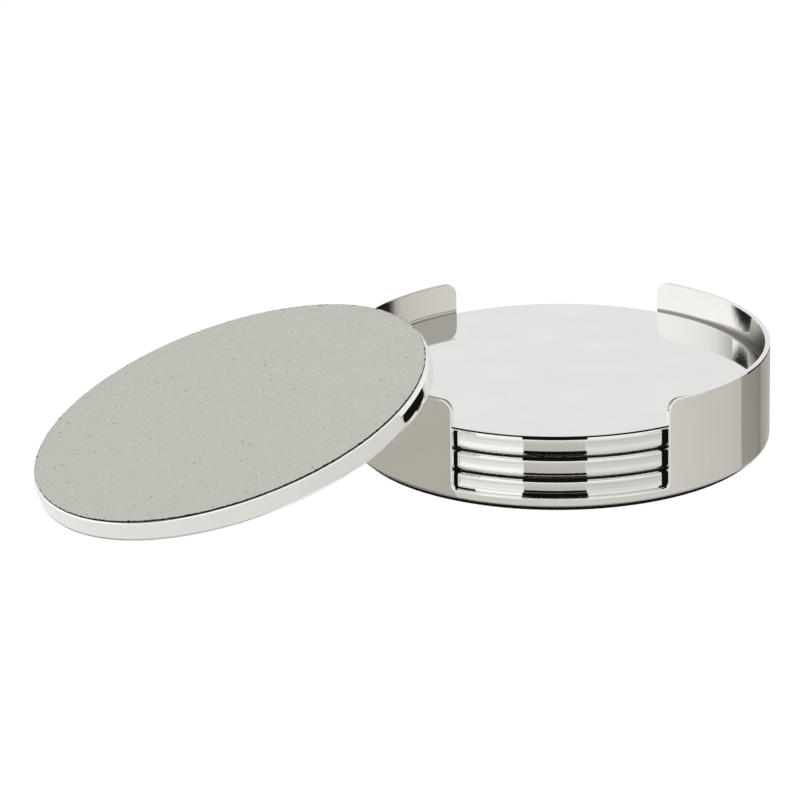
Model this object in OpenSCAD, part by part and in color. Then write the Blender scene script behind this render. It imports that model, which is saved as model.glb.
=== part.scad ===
// Round drinks coasters with a holder: a polished cup with two finger notches, three coasters
// stacked in it, and a fourth that lies felt side up with its high edge on the cup's wall.
// The origin is on the cup's axis, on the table. Lengths are in millimetres.

/* [Coasters] */
// Diameter of a coaster
coaster_d = 100; // [80:1:130]
// Height of the metal cap
cap_h = 5.1; // [4.5:0.1:8]
// Sheet thickness of the cap
cap_t = 0.6; // [0.4:0.1:0.7]
// Outer radius of the cap's upper edge
cap_round = 0.9; // [0.8:0.1:2]
// Outer radius of the cap's lower edge
rim_round = 1.4; // [1:0.1:2]
// Width of the flat flange that is turned in under the core
flange_w = 3; // [2:0.5:8]
// Thickness of the felt under a coaster
felt_t = 0.3; // [0.2:0.1:1.5]
// Distance from the cap's side to the edge of the felt
felt_inset = 0.6; // [0.4:0.05:1.5]
// Gap between the core and the cap's side and flange
core_gap = 0.15; // [0.1:0.05:0.4]

/* [Holder] */
// Height of the wall's top above the table
holder_h = 25.9; // [24:0.1:36]
// Sheet thickness of the cup
cup_t = 1.25; // [0.8:0.05:2]
// Gap between a coaster and the cup's wall
cup_gap = 0.55; // [0.4:0.05:1.2]
// Gap between the edge of a coaster's felt and the bend at the foot of the wall
bend_gap = 0.6; // [0.2:0.05:0.65]
// Thickness of the felt under the cup
foot_t = 1; // [0.8:0.1:2]
// Distance from the edge of the cup's flat underside to the edge of its felt
foot_inset = 0.2; // [0.2:0.1:2]

/* [Finger notches] */
// Angle that each notch takes out of the wall
notch_angle = 60; // [40:1:75]
// Height of the lip that is left in a notch, above the cup's floor
lip_h = 1.45; // [1.3:0.05:3]
// Corner radius where the wall's top runs down into a notch
notch_top_r = 3; // [1:0.1:5]
// Corner radius where a notch's side meets the lip
notch_low_r = 1; // [0.5:0.1:2]

/* [Leaning coaster] */
// Direction in which the coaster lies, seen from the cup's axis
lean_azimuth = 203.5; // [185:0.5:215]
// How far the coaster reaches past the outside of the wall that carries it
lean_overhang = 15.4; // [8:0.2:25]
// Gap between the coaster and the wall
lean_gap = 0.3; // [0.2:0.05:0.5]

/* [Hidden] */
$fn = 160;
cut_margin = 1;
arc_lead = 0.02;
coaster_r = coaster_d / 2;
coaster_h = felt_t + cap_h;
cap_inner_r = coaster_r - cap_t;
cap_inner_round = cap_round - cap_t;
rim_inner_round = rim_round - cap_t;
flange_inner_r = coaster_r - rim_round - flange_w;
felt_r = coaster_r - felt_inset;

cup_inner_r = coaster_r + cup_gap;
cup_outer_r = cup_inner_r + cup_t;
cup_floor_z = foot_t + cup_t;
bend_inner_r = cup_gap + felt_inset - bend_gap;
bend_outer_r = bend_inner_r + cup_t;
foot_r = cup_outer_r - bend_outer_r - foot_inset;

notch_half = notch_angle / 2;
lip_z = cup_floor_z + lip_h;
notch_cut_h = holder_h - lip_z + cut_margin;
half_notch_w = cup_outer_r * sin(notch_half) + cut_margin;

// The leaning coaster touches the table with its rounded edge, and its polished face passes over the
// wall's outer edge. lean_run is the length along that face from the first point to the second.
lean_run = 2 * coaster_r - cap_round - lean_overhang;
lean_drop = cap_round + lean_gap;
lean_tilt = atan2(lean_drop, lean_run)
    + asin((holder_h - cap_round) / norm([lean_run, lean_drop]));
lean_reach = cup_outer_r + lean_run * cos(lean_tilt) + lean_drop * sin(lean_tilt);

STACK = ["bottom", "middle", "top"];
NODES = [
    "holder_cup",
    "holder_foot_pad",
    "bottom_coaster_cap",
    "bottom_coaster_core",
    "bottom_coaster_felt",
    "middle_coaster_cap",
    "middle_coaster_core",
    "middle_coaster_felt",
    "top_coaster_cap",
    "top_coaster_core",
    "top_coaster_felt",
    "leaning_coaster_cap",
    "leaning_coaster_core",
    "leaning_coaster_felt"
];
node = "all";

function shown(name) = node == "all" || node == name;

// Half section of a disc from z0 to z1, with rounded lower and upper edges
module disc_section(r, z0, z1, low_r = 0, high_r = 0) {
    translate([0, z0 + low_r])
        square([r, z1 - z0 - low_r - high_r]);
    if (low_r > 0) {
        translate([0, z0])
            square([r - low_r, z1 - z0 - high_r]);
        translate([r - low_r, z0 + low_r])
            circle(low_r);
    }
    if (high_r > 0) {
        translate([0, z0 + low_r])
            square([r - high_r, z1 - z0 - low_r]);
        translate([r - high_r, z1 - high_r])
            circle(high_r);
    }
}

// Half section of the space inside a cap, drawn in at its side by a gap
module cap_space_section(gap) {
    disc_section(
        cap_inner_r - gap, felt_t + cap_t, coaster_h - cap_t,
        low_r = rim_inner_round, high_r = cap_inner_round
    );
}

// Outline of half a notch: across from its side into the notch, upwards along the wall. The upper arc
// runs out just above the wall's top.
module half_notch_outline() {
    translate([0, lip_z + notch_low_r])
        square([half_notch_w, notch_cut_h]);
    translate([notch_low_r, lip_z])
        square([half_notch_w - notch_low_r, notch_cut_h]);
    translate([notch_low_r, lip_z + notch_low_r])
        circle(notch_low_r);
    translate([-notch_top_r, holder_h - notch_top_r + arc_lead])
        difference() {
            square([notch_top_r + notch_low_r, notch_top_r + cut_margin]);
            circle(notch_top_r);
        }
}

// Half of the opening for a finger, with a radial side: side is 1 on the right and -1 on the left
module half_notch(side) {
    start = cup_inner_r * cos(notch_half) - cut_margin;
    intersection() {
        rotate([0, 0, side * notch_half - 90])
            translate([start, 0, 0])
                rotate([90, 0, 90])
                    linear_extrude(cup_outer_r + cut_margin - start)
                        mirror([side > 0 ? 1 : 0, 0])
                            half_notch_outline();
        translate([side > 0 ? 0 : -coaster_d, -coaster_d, 0])
            cube([coaster_d, coaster_d, 2 * holder_h]);
    }
}

// Drawn cup: flat floor, bend and upright wall, with a notch at the front and one at the back
module holder_cup() {
    color("silver")
        difference() {
            rotate_extrude()
                difference() {
                    disc_section(cup_outer_r, foot_t, holder_h, low_r = bend_outer_r);
                    disc_section(
                        cup_inner_r, cup_floor_z, holder_h + cut_margin, low_r = bend_inner_r
                    );
                }
            for (turn = [0, 180])
                rotate([0, 0, turn])
                    for (side = [-1, 1])
                        half_notch(side);
        }
}

// Felt disc stuck under the cup, on which it stands
module holder_foot_pad() {
    color("dimgray")
        cylinder(r = foot_r, h = foot_t);
}

// Drawn metal cap: flat face, rounded edges above and below, and a flange turned in under the core
module coaster_cap() {
    color("gainsboro")
        rotate_extrude()
            difference() {
                disc_section(coaster_r, felt_t, coaster_h, low_r = rim_round, high_r = cap_round);
                cap_space_section(0);
                square([flange_inner_r, coaster_h / 2]);
            }
}

// Board that fills the cap and its flange, and carries the felt
module coaster_core() {
    color("peru")
        rotate_extrude() {
            cap_space_section(core_gap);
            translate([0, felt_t])
                square([flange_inner_r - core_gap, coaster_h / 2]);
        }
}

// Felt disc stuck over the core and the flange
module coaster_felt() {
    color("darkgray")
        cylinder(r = felt_r, h = felt_t);
}

// Puts a piece of a coaster on its level in the stack
module stacked(level) {
    translate([0, 0, cup_floor_z + level * coaster_h])
        children();
}

// Turns a piece of a coaster felt side up and leans it on the wall
module leaning() {
    rotate([0, 0, lean_azimuth])
        translate([lean_reach, 0, cap_round])
            rotate([0, lean_tilt, 0])
                translate([cap_round - coaster_r, 0, coaster_h - cap_round])
                    rotate([180, 0, 0])
                        children();
}

if (shown("holder_cup")) holder_cup();
if (shown("holder_foot_pad")) holder_foot_pad();
for (level = [0 : len(STACK) - 1]) {
    if (shown(str(STACK[level], "_coaster_cap"))) stacked(level) coaster_cap();
    if (shown(str(STACK[level], "_coaster_core"))) stacked(level) coaster_core();
    if (shown(str(STACK[level], "_coaster_felt"))) stacked(level) coaster_felt();
}
if (shown("leaning_coaster_cap")) leaning() coaster_cap();
if (shown("leaning_coaster_core")) leaning() coaster_core();
if (shown("leaning_coaster_felt")) leaning() coaster_felt();
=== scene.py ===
"""Looks of the drinks coaster set: a polished holder with three coasters in it and one leaning on it."""

import math

import bmesh
import bpy
from mathutils import Matrix, Vector, noise


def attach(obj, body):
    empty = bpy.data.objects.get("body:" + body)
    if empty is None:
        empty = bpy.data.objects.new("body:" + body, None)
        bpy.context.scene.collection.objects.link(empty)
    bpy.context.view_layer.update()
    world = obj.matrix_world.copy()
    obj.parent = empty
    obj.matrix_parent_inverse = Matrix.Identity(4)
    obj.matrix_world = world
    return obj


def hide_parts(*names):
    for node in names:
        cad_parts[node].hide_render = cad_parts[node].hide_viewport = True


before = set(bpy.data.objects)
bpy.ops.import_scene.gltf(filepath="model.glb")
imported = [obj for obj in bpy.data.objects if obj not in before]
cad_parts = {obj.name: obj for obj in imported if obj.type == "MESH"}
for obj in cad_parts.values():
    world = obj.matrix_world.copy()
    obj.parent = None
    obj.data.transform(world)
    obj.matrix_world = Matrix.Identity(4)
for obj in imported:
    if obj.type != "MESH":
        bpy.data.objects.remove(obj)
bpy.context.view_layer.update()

MM = 0.001

# Coaster sizes, the same as in the part's source
COASTER_R = 50 * MM
CAP_H = 5.1 * MM
CAP_T = 0.6 * MM
CAP_ROUND = 0.9 * MM
RIM_ROUND = 1.4 * MM
FLANGE_W = 3 * MM
FELT_T = 0.3 * MM
FELT_R = COASTER_R - 0.6 * MM
COASTER_H = FELT_T + CAP_H

# Holder sizes, the same as in the part's source
HOLDER_H = 25.9 * MM
CUP_T = 1.25 * MM
CUP_R = COASTER_R + 0.55 * MM + CUP_T
BEND_R = 1.8 * MM
FOOT_T = 1 * MM
FOOT_R = 49.8 * MM
CUP_FLOOR_Z = FOOT_T + CUP_T
LIP_Z = CUP_FLOOR_Z + 1.45 * MM
NOTCH_HALF = math.radians(30)
NOTCH_TOP_R = 3 * MM
NOTCH_LOW_R = 1 * MM

# Place of the leaning coaster, worked out as in the part's source
LEAN_AZIMUTH = math.radians(203.5)
LEAN_RUN = 2 * COASTER_R - CAP_ROUND - 15.4 * MM
LEAN_DROP = CAP_ROUND + 0.3 * MM
LEAN_RISE = math.asin((HOLDER_H - CAP_ROUND) / math.hypot(LEAN_RUN, LEAN_DROP))
LEAN_TILT = math.atan2(LEAN_DROP, LEAN_RUN) + LEAN_RISE
LEAN_REACH = CUP_R + LEAN_RUN * math.cos(LEAN_TILT) + LEAN_DROP * math.sin(LEAN_TILT)

# Steps round a turned metal piece and round a felt
ROUND_STEPS = 256
FELT_STEPS = 384
# Distance of the points that stand beside a rounded corner
SUPPORT = 0.2 * MM
# Points closer than this are one
MERGE = 0.004 * MM

# Rounded edges of the cup's cuts and of a cap's flange
CUT_ROUND = 0.32 * MM
FLANGE_EDGE_ROUND = 0.2 * MM
# How far in a felt's cut edge is pulled, how wide that reaches, and the size of its tufts
COASTER_FRAY = 0.12 * MM
FOOT_FRAY = 0.1 * MM
FRAY_WIDTH = 1.5 * MM
TUFT_SIZE = 0.9 * MM
# Depth and size of the unevenness of a nap
NAP_DEPTH = 0.01 * MM
NAP_SIZE = 2 * MM

# Camera fitted to the outlines in the photograph
VIEW_DISTANCE = 1.40446
VIEW_ELEVATION = math.radians(19.672)
VIEW_AZIMUTH = math.radians(1.202)
VIEW_ROLL = math.radians(-0.782)
VIEW_LENS = 256.5
VIEW_SENSOR = 36
VIEW_RIGHT = 39.115 * MM
VIEW_DOWN = 9.118 * MM
VIEW_LIFT = 0.443 * MM

# Cards that are mirrored in the metal. Their sizes are in millimetres and degrees round the holder's axis.
DARK_TONE = 0.006
SPOT_TONE = 0.008
# Ends of the dark patch in the middle of the front notch
PATCH_LEFT = -100.5
PATCH_RIGHT = -82.6
# Radius of the cards close to the coasters' rims and close to the inside of the wall
RIM_CARD_R = 50.05
WALL_CARD_R = 50.5
# Height of the cards close over the wall's top
TOP_CARD_Z = 25.96
# Reach on the table that the top of each rim in the front notch mirrors
RIM_REACHES = (17.0, 32.1, 47.2)
# Radius of the card round the notch's outer edge, and its distance out of the metal
NOTCH_EDGE_SECTION = ((51.85, -0.34), (51.75, -0.05), (51.5, 0.06))
# Place and half height of the flags behind the holder
FLAG_X = -85
FLAG_HALF_HIGH = 12

# Half the table's width, and the level of the room's light on everything but polished metal
TABLE_HALF = 3.0
ROOM_LEVEL = 0.72


class Wire:
    """An output socket in a shader tree. Arithmetic on it adds Math nodes."""

    def __init__(self, tree, socket=None):
        self.tree = tree
        self.socket = socket

    def node(self, kind, settings=None, inputs=None, output=0):
        made = self.tree.nodes.new(kind)
        for key, value in (settings or {}).items():
            setattr(made, key, value)
        for key, value in (inputs or {}).items():
            if isinstance(value, Wire):
                self.tree.links.new(value.socket, made.inputs[key])
            else:
                made.inputs[key].default_value = value
        return Wire(self.tree, made.outputs[output] if made.outputs else None)

    def other(self, output):
        return Wire(self.tree, self.socket.node.outputs[output])

    def math(self, operation, *values):
        return self.node("ShaderNodeMath", {"operation": operation}, dict(enumerate(values)))

    def ramp(self, low, high, to_low=0.0, to_high=1.0):
        settings = {"interpolation_type": "SMOOTHSTEP"}
        return self.node("ShaderNodeMapRange", settings, {0: self, 1: low, 2: high, 3: to_low, 4: to_high})

    def __add__(self, value):
        return self.math("ADD", self, value)

    def __radd__(self, value):
        return self.math("ADD", value, self)

    def __sub__(self, value):
        return self.math("SUBTRACT", self, value)

    def __rsub__(self, value):
        return self.math("SUBTRACT", value, self)

    def __mul__(self, value):
        return self.math("MULTIPLY", self, value)

    def __rmul__(self, value):
        return self.math("MULTIPLY", value, self)

    def __truediv__(self, value):
        return self.math("DIVIDE", self, value)

    def __abs__(self):
        return self.math("ABSOLUTE", self)


def rgba(colour):
    return (*colour, 1.0)


def mixed(factor, first, second):
    """Colour that goes from the first to the second as the factor goes from 0 to 1."""
    return factor.node("ShaderNodeMix", {"data_type": "RGBA"}, {0: factor, 6: first, 7: second}, output=2)


def clouds(place, scale, detail, roughness=0.5):
    """Noise over a place."""
    inputs = {"Vector": place, "Scale": scale, "Detail": detail, "Roughness": roughness}
    return place.node("ShaderNodeTexNoise", {}, inputs)


def relief(height, strength, distance):
    """Normal of a fine relief."""
    return height.node("ShaderNodeBump", {}, {"Strength": strength, "Distance": distance, "Height": height})


def new_material(name):
    material = bpy.data.materials.new(name)
    material.use_nodes = True
    material.node_tree.nodes.clear()
    return material, Wire(material.node_tree)


def close_material(start, surface):
    start.node("ShaderNodeOutputMaterial", {}, {"Surface": surface})


def close_finish(start, inputs):
    """Ends the material of a piece with its colour, roughness and normal."""
    close_material(start, start.node("ShaderNodeBsdfPrincipled", {}, inputs))


# Finishes


def polished_plate(name, colour):
    """Mirror-polished plated sheet, with a faint haze and the finest buffing marks."""
    material, start = new_material(name)
    place = start.node("ShaderNodeTexCoord", output="Object")
    haze = clouds(place, 70.0, 5.0, 0.6)
    buffed = start.node("ShaderNodeMapping", {}, {"Vector": place, "Scale": (1.0, 0.04, 0.3)})
    marks = clouds(buffed, 2600.0, 3.0)
    dull = tuple(0.965 * part for part in colour)
    close_finish(
        start,
        {
            "Base Color": mixed(haze.ramp(0.3, 0.7), rgba(dull), rgba(colour)),
            "Metallic": 1.0,
            "Roughness": 0.03 + 0.035 * haze,
            "Normal": relief(marks, 0.012, 0.02 * MM),
        },
    )
    return material


def grey_felt():
    """Short dense felt with dark flecks. Painted shade darkens the frayed cut edge; where a felt's edge
    shade is lifted, that shade is paler towards the nap.
    """
    material, start = new_material("grey_coaster_felt")
    place = start.node("ShaderNodeTexCoord", output="Object")
    depth = start.node("ShaderNodeAttribute", {"attribute_name": "from_cut_edge"}, output="Fac")
    edge_shade_lift = start.node("ShaderNodeAttribute", {"attribute_name": "edge_shade_lift"}, output="Fac")
    fibre = clouds(place, 2200.0, 4.0, 0.7)
    cloud = clouds(place, 260.0, 3.0)
    cells = start.node("ShaderNodeTexVoronoi", {}, {"Vector": place, "Scale": 520.0})
    lot = start.node("ShaderNodeSeparateColor", {}, {"Color": cells.other("Color")})
    fleck = cells.ramp(0.08, 0.16, 1.0, 0.0) * lot.math("GREATER_THAN", lot, 0.84)
    fray = clouds(place, 1100.0, 3.0, 0.65)
    ragged = 0.12 + fray.ramp(0.5, 0.7, 0.0, 0.42)
    # Painted shade: the cut edge goes nearly black within a frayed width, standing in for the shade where
    # the felt meets the metal; the edge shade lift pales it towards the nap.
    cut = (depth + 0.1 * edge_shade_lift - ragged).ramp(0.0, 0.06, 1.0, 0.0)
    grain = 0.93 * fibre + 0.07 * cloud
    felt = mixed(grain.ramp(0.36, 0.64), rgba((0.42, 0.42, 0.38)), rgba((0.5, 0.5, 0.46)))
    flecked = mixed(fleck * 0.95, felt, rgba((0.13, 0.125, 0.11)))
    close_finish(
        start,
        {
            "Base Color": mixed(cut, flecked, rgba((0.012, 0.012, 0.011))),
            "Roughness": 1.0,
            "Specular IOR Level": 0.1,
            "Normal": relief(fibre, 0.35, 0.06 * MM),
        },
    )
    return material


def black_felt():
    """Black felt under the holder."""
    material, start = new_material("black_foot_felt")
    place = start.node("ShaderNodeTexCoord", output="Object")
    fibre = clouds(place, 2000.0, 4.0, 0.7)
    close_finish(
        start,
        {
            "Base Color": mixed(
                fibre.ramp(0.35, 0.65), rgba((0.006, 0.006, 0.006)), rgba((0.022, 0.022, 0.021))
            ),
            "Roughness": 1.0,
            "Specular IOR Level": 0.1,
            "Normal": relief(fibre, 0.4, 0.08 * MM),
        },
    )
    return material


def hardboard():
    """Brown hardboard of the cores, with pressed fibres."""
    material, start = new_material("core_hardboard")
    place = start.node("ShaderNodeTexCoord", output="Object")
    fibre = clouds(place, 900.0, 6.0, 0.7)
    patch = clouds(place, 120.0, 3.0)
    pressed = (0.6 * fibre + 0.4 * patch).ramp(0.35, 0.65)
    close_finish(
        start,
        {
            "Base Color": mixed(pressed, rgba((0.3, 0.19, 0.11)), rgba((0.52, 0.37, 0.24))),
            "Roughness": 0.75 + 0.2 * fibre,
            "Normal": relief(fibre, 0.3, 0.05 * MM),
        },
    )
    return material


HOLDER_PLATE = polished_plate("polished_holder_plate", (0.845, 0.84, 0.815))
COASTER_PLATE = polished_plate("polished_coaster_plate", (0.85, 0.848, 0.835))
COASTER_FELT = grey_felt()
FOOT_FELT = black_felt()
CORE_BOARD = hardboard()


# Shapes


def section_wire(bm, corners):
    """Line through the corners of a half section, given as radius and height."""
    verts = [bm.verts.new((radius, 0, height)) for radius, height in corners]
    for first, second in zip(verts, verts[1:]):
        bm.edges.new((first, second))
    return verts


def bevelled_corner(bm, vert, radius, segments):
    """Rounds a corner of a line, and gives the points of its arc."""
    made = bmesh.ops.bevel(
        bm,
        geom=[vert],
        offset=radius,
        offset_type="OFFSET",
        affect="VERTICES",
        segments=segments,
        profile=0.5,
        material=-1,
    )
    return set(made["verts"])


def rounded_corner(bm, vert, radius, segments):
    """Rounds a corner of a line, and adds a point on each side that keeps the reflections straight."""
    arc = bevelled_corner(bm, vert, radius, segments)
    for end in list(arc):
        for edge in list(end.link_edges):
            far = edge.other_vert(end)
            length = edge.calc_length()
            if far not in arc and length > 3 * SUPPORT:
                bmesh.utils.edge_split(edge, end, SUPPORT / length)


def turned(bm, steps=ROUND_STEPS):
    """Turns the line in the bmesh round the upright axis: a sixteenth of the turn, then its copies."""
    sixteenth = math.tau / 16
    about = {"cent": (0, 0, 0), "axis": (0, 0, 1), "dvec": (0, 0, 0), "use_merge": False}
    line = bm.verts[:] + bm.edges[:]
    bmesh.ops.spin(bm, geom=line, angle=sixteenth, steps=steps // 16, use_duplicate=False, **about)
    part = bm.verts[:] + bm.edges[:] + bm.faces[:]
    bmesh.ops.spin(bm, geom=part, angle=15 * sixteenth, steps=15, use_duplicate=True, **about)
    bmesh.ops.remove_doubles(bm, verts=bm.verts, dist=MERGE)
    bmesh.ops.recalc_face_normals(bm, faces=bm.faces)


def finished_piece(bm, name, material, body, node):
    """Makes the bmesh a piece of the object that stands for a CAD node and rides on its body."""
    mesh = bpy.data.meshes.new(name)
    for face in bm.faces:
        face.smooth = True
    bm.to_mesh(mesh)
    bm.free()
    mesh.materials.append(material)
    piece = bpy.data.objects.new(name, mesh)
    bpy.context.scene.collection.objects.link(piece)
    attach(piece, body)
    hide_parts(node)
    return piece


def stacked(level):
    return Matrix.Translation((0, 0, CUP_FLOOR_Z + level * COASTER_H))


def leaning():
    return (
        Matrix.Rotation(LEAN_AZIMUTH, 4, "Z")
        @ Matrix.Translation((LEAN_REACH, 0, CAP_ROUND))
        @ Matrix.Rotation(LEAN_TILT, 4, "Y")
        @ Matrix.Translation((CAP_ROUND - COASTER_R, 0, COASTER_H - CAP_ROUND))
        @ Matrix.Rotation(math.pi, 4, "X")
    )


def coaster_cap(name, place):
    """Drawn cap with its rounded edges and the flange turned in under the core."""
    bm = bmesh.new()
    flange_r = COASTER_R - RIM_ROUND - FLANGE_W
    inside_r = COASTER_R - CAP_T
    corners = section_wire(
        bm,
        [
            (0, COASTER_H),
            (COASTER_R, COASTER_H),
            (COASTER_R, FELT_T),
            (flange_r, FELT_T),
            (flange_r, FELT_T + CAP_T),
            (inside_r, FELT_T + CAP_T),
            (inside_r, COASTER_H - CAP_T),
            (0, COASTER_H - CAP_T),
        ],
    )
    rounded_corner(bm, corners[1], CAP_ROUND, 12)
    rounded_corner(bm, corners[2], RIM_ROUND, 12)
    rounded_corner(bm, corners[3], FLANGE_EDGE_ROUND, 3)
    rounded_corner(bm, corners[4], FLANGE_EDGE_ROUND, 3)
    rounded_corner(bm, corners[5], RIM_ROUND - CAP_T, 4)
    rounded_corner(bm, corners[6], CAP_ROUND - CAP_T, 4)
    turned(bm)
    bmesh.ops.transform(bm, matrix=place, verts=bm.verts)
    body = f"{name}_coaster"
    finished_piece(bm, f"{name}_polished_cap", COASTER_PLATE, body, f"{body}_cap")


def felt_disc(radius, thickness, fray, seed, edge_lift_amount):
    """Felt disc with soft edges, a frayed cut and a slightly uneven nap. It stays inside its CAD disc."""
    bm = bmesh.new()
    corners = section_wire(bm, [(0, 0), (radius, 0), (radius, thickness), (0, thickness)])
    for corner in corners[1:3]:
        rounded_corner(bm, corner, 0.2 * thickness, 3)
    edges = [edge for edge in bm.edges if edge.calc_length() > 0.5 * radius]
    bmesh.ops.subdivide_edges(bm, edges=edges, cuts=12)
    turned(bm, FELT_STEPS)
    # Attributes for the painted shade on the cut edge: distance in from the edge, and how much that shade
    # is lifted towards the nap.
    cut_edge = bm.verts.layers.float.new("from_cut_edge")
    edge_shade_lift = bm.verts.layers.float.new("edge_shade_lift")
    for vert in bm.verts:
        out = Vector((vert.co.x, vert.co.y, 0))
        vert[cut_edge] = (radius - out.length) / MM
        vert[edge_shade_lift] = edge_lift_amount * vert.co.z / thickness
        near = max(0.0, 1 - (radius - out.length) / FRAY_WIDTH)
        pulled = 0.5 + 0.5 * noise.noise(Vector((out.x, out.y, seed)) / TUFT_SIZE)
        if out.length > 0:
            vert.co -= out.normalized() * (fray * near * pulled)
        if vert.co.z > 0.6 * thickness:
            vert.co.z -= NAP_DEPTH * (1 + near * noise.noise(Vector((out.x, out.y, seed)) / NAP_SIZE))
    return bm


def nap_down(thickness):
    """Turns a felt over, so that its nap is on the side away from the metal."""
    return Matrix.Translation((0, 0, thickness)) @ Matrix.Rotation(math.pi, 4, "X")


def coaster_felt(name, place, seed, edge_lift_amount=0.0):
    """Felt under a coaster. The edge lift amount pales the painted shade on its cut edge at the nap."""
    bm = felt_disc(FELT_R, FELT_T, COASTER_FRAY, seed, edge_lift_amount)
    bmesh.ops.transform(bm, matrix=place @ nap_down(FELT_T), verts=bm.verts)
    body = f"{name}_coaster"
    piece = finished_piece(bm, f"{name}_felt_disc", COASTER_FELT, body, f"{body}_felt")


def foot_felt():
    bm = felt_disc(FOOT_R, FOOT_T, FOOT_FRAY, 9.0, 0.0)
    bmesh.ops.transform(bm, matrix=nap_down(FOOT_T), verts=bm.verts)
    piece = finished_piece(bm, "foot_felt_disc", FOOT_FELT, "holder", "holder_foot_pad")


def unrolled_wall(bm):
    """Right half of the cup's wall laid out flat, from the middle of one notch to that of the other."""
    half_way = math.pi * CUP_R
    side = NOTCH_HALF * CUP_R
    outline = [
        (0, FOOT_T + BEND_R),
        (0, LIP_Z),
        (side, LIP_Z),
        (side, HOLDER_H),
        (half_way - side, HOLDER_H),
        (half_way - side, LIP_Z),
        (half_way, LIP_Z),
        (half_way, FOOT_T + BEND_R),
    ]
    verts = section_wire(bm, outline)
    bm.edges.new((verts[-1], verts[0]))
    for corner, radius in ((2, NOTCH_LOW_R), (3, NOTCH_TOP_R), (4, NOTCH_TOP_R), (5, NOTCH_LOW_R)):
        bevelled_corner(bm, verts[corner], radius, 10)
    bmesh.ops.contextual_create(bm, geom=bm.edges[:])
    columns = ROUND_STEPS // 2
    for column in range(1, columns):
        bmesh.ops.bisect_plane(
            bm,
            geom=bm.verts[:] + bm.edges[:] + bm.faces[:],
            dist=MERGE / 4,
            plane_co=(half_way * column / columns, 0, 0),
            plane_no=(1, 0, 0),
        )


def cup_floor(bm, radius, bend, level):
    """Turns a floor with its bend, and joins it to the wall of the same radius."""
    floor = bmesh.new()
    corners = section_wire(floor, [(radius, level + bend), (radius, level), (0, level)])
    rounded_corner(floor, corners[1], bend, 10)
    bmesh.ops.remove_doubles(floor, verts=floor.verts, dist=MERGE)
    turned(floor)
    shell = bpy.data.meshes.new("cup_floor")
    floor.to_mesh(shell)
    floor.free()
    bm.from_mesh(shell)
    bpy.data.meshes.remove(shell)


def holder_cup():
    """Drawn cup: the wall is rolled from its flat layout, and the floor and its bend are turned onto it."""
    bm = bmesh.new()
    unrolled_wall(bm)
    bmesh.ops.mirror(bm, geom=bm.verts[:] + bm.edges[:] + bm.faces[:], axis="X", merge_dist=MERGE)
    foot_z = FOOT_T + BEND_R + MERGE
    rim = [edge for edge in bm.edges if edge.is_boundary and max(vert.co.z for vert in edge.verts) > foot_z]
    for vert in bm.verts:
        around = vert.co.x / CUP_R
        vert.co.x = CUP_R * math.sin(around)
        vert.co.y = -CUP_R * math.cos(around)
    outside = bm.verts[:]
    inside = bmesh.ops.duplicate(bm, geom=outside + bm.edges[:] + bm.faces[:])["vert_map"]
    drawn_in = (CUP_R - CUP_T) / CUP_R
    for vert in outside:
        inside[vert].co = Vector((vert.co.x * drawn_in, vert.co.y * drawn_in, vert.co.z))
    for edge in rim:
        first, second = edge.verts
        bm.faces.new((first, second, inside[second], inside[first]))
    cup_floor(bm, CUP_R, BEND_R, FOOT_T)
    cup_floor(bm, CUP_R - CUP_T, BEND_R - CUP_T, CUP_FLOOR_Z)
    bmesh.ops.remove_doubles(bm, verts=bm.verts, dist=MERGE)
    bmesh.ops.recalc_face_normals(bm, faces=bm.faces)
    piece = finished_piece(bm, "polished_cup", HOLDER_PLATE, "holder", "holder_cup")
    deburred = piece.modifiers.new("deburred edges", "BEVEL")
    deburred.width = CUT_ROUND
    deburred.segments = 3
    deburred.limit_method = "ANGLE"
    deburred.angle_limit = math.radians(50)
    even = piece.modifiers.new("even reflections", "WEIGHTED_NORMAL")
    even.weight = 100


holder_cup()
foot_felt()
for level, name in enumerate(("bottom", "middle", "top")):
    coaster_cap(name, stacked(level))
    coaster_felt(name, stacked(level), 1.0 + level)
coaster_cap("leaning", leaning())
# The leaning coaster's painted edge shade is paler towards the nap.
coaster_felt("leaning", leaning(), 4.0, edge_lift_amount=1.0)
for name in ("bottom", "middle", "top", "leaning"):
    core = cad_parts[f"{name}_coaster_core"]
    core.data.materials.clear()
    core.data.materials.append(CORE_BOARD)


# Camera


def photo_camera():
    back = Vector(
        (
            math.sin(VIEW_AZIMUTH) * math.cos(VIEW_ELEVATION),
            -math.cos(VIEW_AZIMUTH) * math.cos(VIEW_ELEVATION),
            math.sin(VIEW_ELEVATION),
        )
    )
    level_right = (-back).cross(Vector((0, 0, 1))).normalized()
    level_up = level_right.cross(-back)
    right = math.cos(VIEW_ROLL) * level_right + math.sin(VIEW_ROLL) * level_up
    up = math.cos(VIEW_ROLL) * level_up - math.sin(VIEW_ROLL) * level_right
    place = back * VIEW_DISTANCE - right * VIEW_RIGHT + up * VIEW_DOWN + Vector((0, 0, VIEW_LIFT))
    camera = bpy.data.cameras.new("photo_camera")
    camera.lens = VIEW_LENS
    camera.sensor_width = VIEW_SENSOR
    stand = bpy.data.objects.new("photo_camera", camera)
    stand.matrix_world = Matrix.Translation(place) @ Matrix((right, up, back)).transposed().to_4x4()
    bpy.context.scene.collection.objects.link(stand)
    bpy.context.scene.camera = stand


photo_camera()


# Studio


def staged(bm, name, material):
    mesh = bpy.data.meshes.new(name)
    bm.to_mesh(mesh)
    bm.free()
    mesh.materials.append(material)
    card = bpy.data.objects.new(name, mesh)
    bpy.context.scene.collection.objects.link(card)
    return card


def only_mirrored(card):
    """Leaves a card out of everything but reflections."""
    card.visible_camera = False
    card.visible_diffuse = False
    card.visible_shadow = False
    card.visible_transmission = False
    return card


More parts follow.
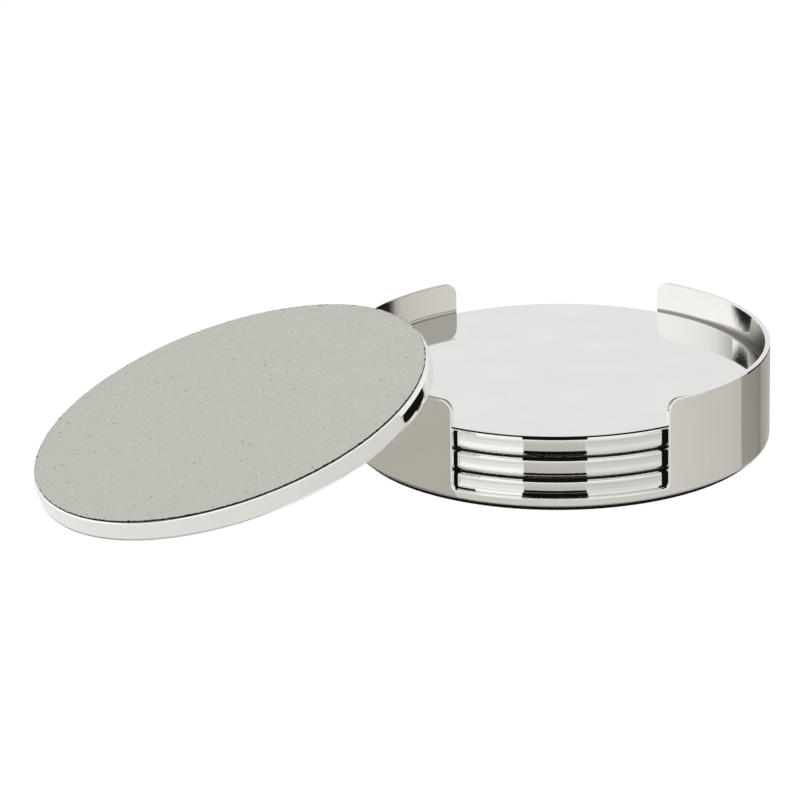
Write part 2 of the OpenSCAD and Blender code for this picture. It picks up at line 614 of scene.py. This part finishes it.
def white_table():
    """White table that keeps a faint shadow of the object."""
    material, start = new_material("white_table")
    ray = start.node("ShaderNodeLightPath", output="Is Camera Ray")
    lit = start.node("ShaderNodeBsdfDiffuse", {}, {"Color": rgba((0.74, 0.74, 0.735))})
    plain = start.node("ShaderNodeEmission", {}, {"Color": rgba((1, 1, 1)), "Strength": 1.04})
    close_material(start, start.node("ShaderNodeMixShader", {}, {0: ray * 0.95, 1: lit, 2: plain}))
    bm = bmesh.new()
    bmesh.ops.create_grid(bm, x_segments=1, y_segments=1, size=TABLE_HALF)
    staged(bm, "table", material)


def toned_material(name, one_sided):
    """Even light whose level is the tone stored at a card's corners, a little warm where it is grey.

    A one-sided card is clear from behind.
    """
    material, start = new_material(name)
    tone = start.node("ShaderNodeAttribute", {"attribute_name": "tone"}, output="Fac")
    grey = mixed(tone * 2, rgba((0, 0, 0)), rgba((0.505, 0.49, 0.445)))
    glow = mixed((tone - 0.5) / 0.75, grey, rgba((1.25, 1.25, 1.24)))
    light = start.node("ShaderNodeEmission", {}, {"Color": glow})
    if one_sided:
        behind = start.node("ShaderNodeNewGeometry", output="Backfacing")
        clear = start.node("ShaderNodeBsdfTransparent")
        light = start.node("ShaderNodeMixShader", {}, {0: behind, 1: light, 2: clear})
    close_material(start, light)
    return material


def toned_card(name, rows, material):
    """Card through rows of corners. Each corner is a place and a tone."""
    bm = bmesh.new()
    layer = bm.verts.layers.float.new("tone")
    made = []
    for row in rows:
        made.append([])
        for place, tone in row:
            vert = bm.verts.new(place)
            vert[layer] = tone
            made[-1].append(vert)
    for first, second in zip(made, made[1:]):
        for a, b, c, d in zip(first, first[1:], second[1:], second):
            bm.faces.new((a, b, c, d))
    only_mirrored(staged(bm, name, material))


def spread(angles):
    """Angles with more of them in between, at most 4 degrees apart."""
    fine = []
    for first, second in zip(angles, angles[1:]):
        steps = max(1, math.ceil((second - first) / 4))
        fine += [first + (second - first) * step / steps for step in range(steps)]
    return fine + [angles[-1]]


def between(value, stops):
    """Value read off a line through stops."""
    for (low, at_low), (high, at_high) in zip(stops, stops[1:]):
        if value <= high:
            return at_low + (at_high - at_low) * (value - low) / (high - low)
    return stops[-1][1]


def round_axis(angle, radius):
    """X and Y at an angle in degrees and a radius."""
    at = math.radians(angle)
    return radius * math.cos(at), radius * math.sin(at)


def mirrored_place(angle, reach):
    """Place on the table that the wall at an angle mirrors towards the camera, at a reach from the wall."""
    wall_x, wall_y = round_axis(angle, CUP_R)
    out_x, out_y = round_axis(90 + 2 * angle, reach)
    return (wall_x + out_x, wall_y + out_y, 0.1 * MM)


def wall_tones(name, stops):
    """Tones of the table that the plain wall mirrors, given along the wall's angle."""
    rows = []
    for angle in spread([angle for angle, tone in stops]):
        tone = between(angle, stops)
        rows.append([(mirrored_place(angle, reach), tone) for reach in (2 * MM, 75 * MM)])
    toned_card(name, rows, TONES)


def rim_tones(name, start_angle, end_angle, upper, dip, middle, lower):
    """Tones of the table that the rims in the front notch mirror, each from its upper to its lower end."""
    stops = [(0.0, 0.69), (9.6, 0.69)]
    for top in RIM_REACHES:
        stops += [
            (top - 6.7, lower),
            (top - 5.5, middle),
            (top - 3.4, middle),
            (top - 2.3, dip),
            (top - 1.6, dip),
            (top - 0.4, upper),
            (top + 1.0, upper),
        ]
    stops.append((53.0, upper))
    rows = []
    for angle in spread([start_angle, end_angle]):
        rows.append([(mirrored_place(angle, reach * MM), tone) for reach, tone in stops])
    toned_card(name, rows, TONES)


def dark_strip(name, section):
    """Dark card in front of a rim, in the middle of the front notch. The section is radius and height."""
    rows = []
    for angle in spread([PATCH_LEFT, PATCH_RIGHT]):
        rows.append([((*round_axis(angle, radius * MM), z * MM), DARK_TONE) for radius, z in section])
    toned_card(name, rows, TONES)


def rim_spot(name, outline):
    """Dark card off the leaning coaster's rim, through angles, lows and highs in the coaster's frame."""
    place = leaning()
    radius = COASTER_R + 1.3 * MM
    rows = []
    for angle, low, high in outline:
        x, y = round_axis(angle, radius)
        rows.append([(place @ Vector((x, y, z * MM)), SPOT_TONE) for z in (low, high)])
    toned_card(name, rows, TONES)


def rim_shade(name, stops):
    """Card close over the rolled edge and the rim of the leaning coaster.

    The stops are angle and tone in the coaster's frame.
    """
    place = leaning()
    gap = 0.08 * MM
    section = []
    for turn in (48, 58, 68, 78, 88):
        down, out = round_axis(turn, RIM_ROUND + gap)
        section.append((COASTER_R - RIM_ROUND + out, FELT_T + RIM_ROUND - down))
    section.append((COASTER_R + gap, COASTER_H - CAP_ROUND))
    rows = []
    for angle in spread([angle for angle, tone in stops]):
        tone = between(angle, stops)
        rows.append([(place @ Vector((*round_axis(angle, radius), z)), tone) for radius, z in section])
    toned_card(name, rows, INNER_TONES)


def shade(name, rows):
    """Card close to the holder. Each row is an angle and its corners: radius, height and tone."""
    filled = []
    for (first, start), (second, end) in zip(rows, rows[1:]):
        steps = max(1, math.ceil(abs(second - first) / 1.5))
        for step in range(steps):
            part = step / steps
            corners = [[a + (b - a) * part for a, b in zip(one, two)] for one, two in zip(start, end)]
            filled.append((first + (second - first) * part, corners))
    filled.append(rows[-1])
    made = []
    for angle, corners in filled:
        made.append([((*round_axis(angle, radius * MM), z * MM), tone) for radius, z, tone in corners])
    toned_card(name, made, INNER_TONES)


def even_shade(name, start_angle, end_angle, corners):
    """Card close to the holder with the same corners all along."""
    shade(name, [(start_angle, corners), (end_angle, corners)])


def upright(radius, heights, tone):
    return [(radius, height, tone) for height in heights]


def over_edge(level, low_tilt):
    """Dark corners of a card close over the upper edge of a stacked coaster, from a tilt of the edge up."""
    gap = 0.05
    top = (CUP_FLOOR_Z + (level + 1) * COASTER_H) / MM
    round_r = CAP_ROUND / MM
    middle_r = COASTER_R / MM - round_r
    corners = []
    for tilt in (low_tilt, 0.5 * (low_tilt + 88), 88):
        out, up = round_axis(tilt, round_r + gap)
        corners.append((middle_r + out, top - round_r + up, DARK_TONE))
    return corners + [(middle_r - 0.12, top + gap, DARK_TONE)]


def notch_path(start_angle, end_angle):
    """Places along the edge of the front notch, as angle, height and the direction out of the metal."""
    side = NOTCH_HALF
    high = NOTCH_TOP_R / CUP_R
    low = NOTCH_LOW_R / CUP_R
    left = []
    for turn in range(0, 91, 15):
        z, x = round_axis(turn, 1)
        left.append((-side - high + x * high, HOLDER_H - NOTCH_TOP_R + z * NOTCH_TOP_R, x, z))
    for turn in range(0, 91, 30):
        x, z = round_axis(turn, 1)
        left.append((-side + low - x * low, LIP_Z + NOTCH_LOW_R - z * NOTCH_LOW_R, x, z))
    right = [(-angle, z, -out_x, out_z) for angle, z, out_x, out_z in reversed(left)]
    lip = [(math.radians(angle), LIP_Z, 0, 1) for angle in range(-28, 29, 4)]
    before = [(math.radians(angle), HOLDER_H, 0, 1) for angle in range(start_angle, -34, 4)]
    after = [(math.radians(angle), HOLDER_H, 0, 1) for angle in range(34, end_angle, 4)]
    return before + left + lip + right + after


def notch_edge_light(name, tone):
    """White card round the outer edge of the front notch."""
    rows = []
    for angle, z, out_x, out_z in notch_path(-62, 44):
        row = []
        for radius, off in NOTCH_EDGE_SECTION:
            at = angle + off * MM * out_x / CUP_R - math.pi / 2
            place = (radius * MM * math.cos(at), radius * MM * math.sin(at), z + off * MM * out_z)
            row.append((place, tone))
        rows.append(row)
    toned_card(name, rows, INNER_TONES)


def mottled_flag(name, place, half_wide, half_high):
    """Dark flag with mottled edges, upright and square to its own X axis."""
    material, start = new_material(name)
    at = start.node("ShaderNodeTexCoord", output="Object")
    side = start.node("ShaderNodeSeparateXYZ", {}, {"Vector": at}, output="Y")
    height = side.other("Z")
    grain = clouds(at, 9.0, 5.0, 0.75)
    squared = side * side + height * height
    out = squared.math("SQRT", squared)
    solid = (out + (grain - 0.5) * 0.9).ramp(0.62, 1.0, 1.0, 0.0)
    clear = start.node("ShaderNodeBsdfTransparent")
    dark = start.node("ShaderNodeEmission", {}, {"Color": rgba((1, 1, 0.9)), "Strength": 0.012})
    close_material(start, start.node("ShaderNodeMixShader", {}, {0: solid, 1: clear, 2: dark}))
    bm = bmesh.new()
    corners = [bm.verts.new((0, y, z)) for y, z in ((-1, -1), (1, -1), (1, 1), (-1, 1))]
    bm.faces.new(corners)
    flag = only_mirrored(staged(bm, name, material))
    flag.matrix_world = place @ Matrix.Diagonal((1, half_wide, half_high, 1))


def window(value, low, full, fading, high):
    """1 from full to fading, and down to 0 at low and at high."""
    return value.ramp(low, full) * value.ramp(fading, high, 1.0, 0.0)


def studio_world():
    """White room. In reflections it has a few grey parts."""
    world = bpy.data.worlds.new("studio")
    world.use_nodes = True
    world.node_tree.nodes.clear()
    start = Wire(world.node_tree)
    aim = start.node("ShaderNodeTexCoord", output="Generated")
    east = start.node("ShaderNodeSeparateXYZ", {}, {"Vector": aim}, output="X")
    north = east.other("Y")
    height = east.other("Z")
    over = height.math("ARCTAN2", height, north) * (180 / math.pi)
    rise = height.math("ARCSINE", height) * (180 / math.pi)
    bearing = east.math("ARCTAN2", east, north) * (180 / math.pi)
    left_back = window(bearing, 90.0, 104.0, 126.0, 136.0) * window(rise, 4.0, 10.0, 26.0, 34.0)
    gap_tone = window(bearing, -112.0, -104.0, -76.0, -66.0) * window(rise, 28.0, 36.0, 56.0, 64.0)
    right_back = window(bearing, -52.0, -44.0, -32.0, -22.0) * window(rise, 8.0, 13.0, 26.0, 32.0)
    behind = over.ramp(22.0, 26.0, 1.0, 0.0) * abs(bearing).ramp(30.0, 45.0, 1.0, 0.0)
    room = 1.0 + 0.25 * east.ramp(-0.15, -0.7)
    for depth, part in ((0.36, left_back), (0.6, gap_tone), (0.5, right_back), (0.105, behind)):
        room = room * (1 - depth * part)
    ray = start.node("ShaderNodeLightPath", output="Is Camera Ray")
    clear = ray.math("MAXIMUM", ray, ray.other("Is Transmission Ray"))
    mirrored = ray.other("Is Glossy Ray")
    strength = clear + (1 - clear) * (mirrored * room + (1 - mirrored) * ROOM_LEVEL)
    surface = start.node("ShaderNodeBackground", {}, {"Color": rgba((1, 1, 1)), "Strength": strength})
    start.node("ShaderNodeOutputWorld", {}, {"Surface": surface})
    bpy.context.scene.world = world


def overhead_light():
    lamp = bpy.data.lights.new("overhead_softbox", "AREA")
    lamp.shape = "RECTANGLE"
    lamp.size = 0.9
    lamp.size_y = 0.7
    lamp.energy = 4.2
    stand = bpy.data.objects.new("overhead_softbox", lamp)
    stand.location = (-0.1, -0.1, 0.9)
    stand.visible_glossy = False
    bpy.context.scene.collection.objects.link(stand)


white_table()
TONES = toned_material("card_tones", False)
INNER_TONES = toned_material("one_sided_card_tones", True)

# Table in front of the wall and of the rims
wall_tones("table_left", [(-186, 0.49), (-119.5, 0.495)])
wall_tones(
    "table_right",
    [
        (-60, 0.7),
        (-48.6, 0.65),
        (-36, 0.6),
        (-31.7, 0.56),
        (-31.4, 0.355),
        (-24, 0.31),
        (-18.7, 0.25),
        (-18.4, 0.37),
        (-10, 0.47),
        (4, 0.5),
    ],
)
rim_tones("table_left_front", -119.4, -100.3, upper=1.08, dip=0.72, middle=0.9, lower=1.12)
rim_tones("table_front", -100.2, -82.9, upper=0.66, dip=0.64, middle=0.57, lower=0.54)
rim_tones("table_right_front", -82.8, -60.1, upper=0.8, dip=0.6, middle=0.7, lower=0.84)

# Rims in the front notch and the rim of the leaning coaster
dark_strip("top_rim_strip", [(50.08, 13.6), (51.9, 13.6), (51.9, 14.35)])
dark_strip("middle_rim_strip", [(50.3, 8.2), (51.9, 8.2), (51.9, 8.75)])
dark_strip("bottom_rim_strip", [(51.9, 3.74), (51.9, 4.35)])
rim_spot(
    "leaning_rim_spot",
    [
        (-143, 2.6, 4.4),
        (-141.5, 2.0, 5.0),
        (-138, 2.0, 5.1),
        (-134, 2.0, 5.0),
        (-130, 2.1, 5.0),
        (-128, 2.4, 4.8),
        (-127.3, 3.4, 4.4),
    ],
)
rim_shade(
    "leaning_rim_shade",
    [(-125, 0.78), (-95, 0.79), (-60, 0.85), (-30, 0.9), (0, 0.94), (20, 0.95)],
)
# Painted shade: dark cards in the gaps beside the notch's edges and between the rims, which show in the
# metal as black gaps.
for name, start_angle, end_angle, heights in (
    ("left_notch_strip", -121, -119.35, (4, 18.3)),
    ("right_notch_strip", -61.1, -59, (4, 18.3)),
    ("upper_gap_strip_left", -119.3, -100.6, (13.0, 13.3)),
    ("upper_gap_strip_right", -82.5, -60.6, (13.0, 13.3)),
    ("lower_gap_strip", -119.3, -60.6, (7.6, 8.05)),
):
    even_shade(name, start_angle, end_angle, upright(RIM_CARD_R - 0.01, heights, DARK_TONE))
for name, start_angle, end_angle, level, low_tilt in (
    ("top_edge_strip_left", -121.5, PATCH_LEFT, 2, 52),
    ("top_edge_strip", PATCH_LEFT, PATCH_RIGHT, 2, 18),
    ("top_edge_strip_right", PATCH_RIGHT, -58.5, 2, 52),
    ("middle_edge_strip", PATCH_LEFT, PATCH_RIGHT, 1, 22),
    ("bottom_edge_strip", PATCH_LEFT, PATCH_RIGHT, 0, 22),
):
    even_shade(name, start_angle, end_angle, over_edge(level, low_tilt))
even_shade("bottom_rim_shade", PATCH_LEFT, PATCH_RIGHT, upright(RIM_CARD_R, (3.4, 4.4), DARK_TONE))
even_shade("lip_top_shade", PATCH_LEFT, PATCH_RIGHT, [(51.5, 3.75, DARK_TONE), (50.5, 3.75, DARK_TONE)])
even_shade("bottom_rim_light_left", -114, -100.7, upright(RIM_CARD_R, (3.3, 4.3), 1.1))
even_shade("bottom_rim_light_right", -82.4, -62, upright(RIM_CARD_R, (3.3, 4.3), 0.85))
notch_edge_light("notch_edge_light", 1.15)

# Inside of the wall, and the wall as it is mirrored in the top coaster
shade(
    "back_left_wall_shade",
    [
        (
            angle,
            upright(WALL_CARD_R, (17.95, 18.25), 0.27)
            + upright(WALL_CARD_R, (18.35, 18.65), 0.6)
            + upright(WALL_CARD_R, (18.72, 18.92), 0.33)
            + upright(WALL_CARD_R, (19, 25.85), tone)
            + [(50.6, TOP_CARD_Z, 0.8 * tone), (51.75, TOP_CARD_Z, 0.9 * tone)],
        )
        for angle, tone in (
            (154, 0.01),
            (146.4, 0.02),
            (144.6, 0.16),
            (142.8, 0.46),
            (140.5, 0.6),
            (135, 0.66),
            (119.9, 0.745),
        )
    ],
)
shade(
    "back_left_mirrored_shade",
    [
        (angle, upright(WALL_CARD_R, (18.9, high), 0.41))
        for angle, high in (
            (120.03, 22.9),
            (120.44, 24.35),
            (121.1, 25.05),
            (122.2, 25.6),
            (123.4, 25.8),
            (150, 25.8),
        )
    ],
)
shade(
    "back_right_gap_shade",
    [
        (angle, [(WALL_CARD_R, 17.2, low_tone)] + [(WALL_CARD_R, height, tone) for height, tone in upper])
        for angle, low_tone, upper in (
            (59.9, 0.36, ((18.55, 0.36), (18.75, 0.4), (18.85, 0.9))),
            (45, 0.3, ((18.55, 0.3), (18.75, 0.36), (18.95, 0.9))),
            (32, 0.25, ((18.6, 0.23), (19.0, 0.34), (19.9, 0.85))),
            (24, 0.2, ((18.8, 0.17), (19.4, 0.28), (20.4, 0.6))),
            (20, 0.17, ((19.0, 0.12), (20.0, 0.26), (21.5, 0.55))),
            (18.6, 0.15, ((19.0, 0.11), (20.2, 0.24), (25.56, 0.6))),
            (13, 0.1, ((19.6, 0.07), (21.8, 0.15), (25.56, 0.46))),
            (9, 0.07, ((20.5, 0.05), (23.5, 0.12), (25.56, 0.28))),
            (4, 0.05, ((21, 0.045), (23.5, 0.08), (25.56, 0.16))),
            (0, 0.05, ((21.5, 0.04), (23.5, 0.05), (25.56, 0.08))),
        )
    ],
)
shade(
    "back_right_mirrored_shade",
    [
        (angle, upright(WALL_CARD_R, (low, high), tone))
        for angle, low, high, tone in (
            (30.2, 20.0, 25.8, 0.5),
            (32.5, 19.85, 25.8, 0.57),
            (35, 19.7, 25.8, 0.68),
            (38, 19.5, 25.8, 0.79),
            (42, 19.2, 25.8, 0.87),
            (48, 18.95, 25.8, 0.93),
            (56.6, 18.9, 25.8, 0.97),
            (57.8, 18.9, 25.6, 0.97),
            (58.9, 18.9, 25.05, 0.97),
            (59.56, 18.9, 24.35, 0.97),
            (59.97, 18.9, 22.9, 0.97),
        )
    ],
)

# Outer and upper edges of the wall
even_shade(
    "right_outer_edge_strip",
    -29,
    -6,
    [(51.86, 25.3, DARK_TONE), (51.86, 25.7, DARK_TONE), (51.78, 25.82, DARK_TONE)],
)
for name, rows in (
    (
        "left_top_shade",
        [
            (-152, TOP_CARD_Z, 0.36),
            (-126, TOP_CARD_Z, 0.3),
            (-123.3, TOP_CARD_Z, 0.22),
            (-122.16, 25.78, 0.2),
            (-121.14, 25.24, 0.22),
            (-120.39, 24.43, 0.4),
            (-120.05, 23.7, 0.8),
        ],
    ),
    (
        "right_top_shade",
        [
            (-59.95, 23.7, 0.8),
            (-59.61, 24.43, 0.4),
            (-58.86, 25.24, 0.25),
            (-57.84, 25.78, 0.25),
            (-56.7, TOP_CARD_Z, 0.45),
            (-54.5, TOP_CARD_Z, 0.75),
            (-51, TOP_CARD_Z, 0.95),
        ],
    ),
):
    shade(name, [(angle, [(51.48, z, tone), (50.65, z, tone)]) for angle, z, tone in rows])

# Flags behind the holder, the room and its light
for name, back, height, tilt, half_wide in (
    ("low_back_flag", 138, 67.4, 15.3, 72.5),
    ("high_back_flag", 119, 87.1, 12, 46),
):
    place = Matrix.Translation((FLAG_X * MM, back * MM, height * MM))
    turn = Matrix.Rotation(math.radians(tilt), 4, "X")
    mottled_flag(name, place @ turn, half_wide * MM, FLAG_HALF_HIGH * MM)
studio_world()
overhead_light()

scene = bpy.context.scene
scene.view_settings.view_transform = "Standard"
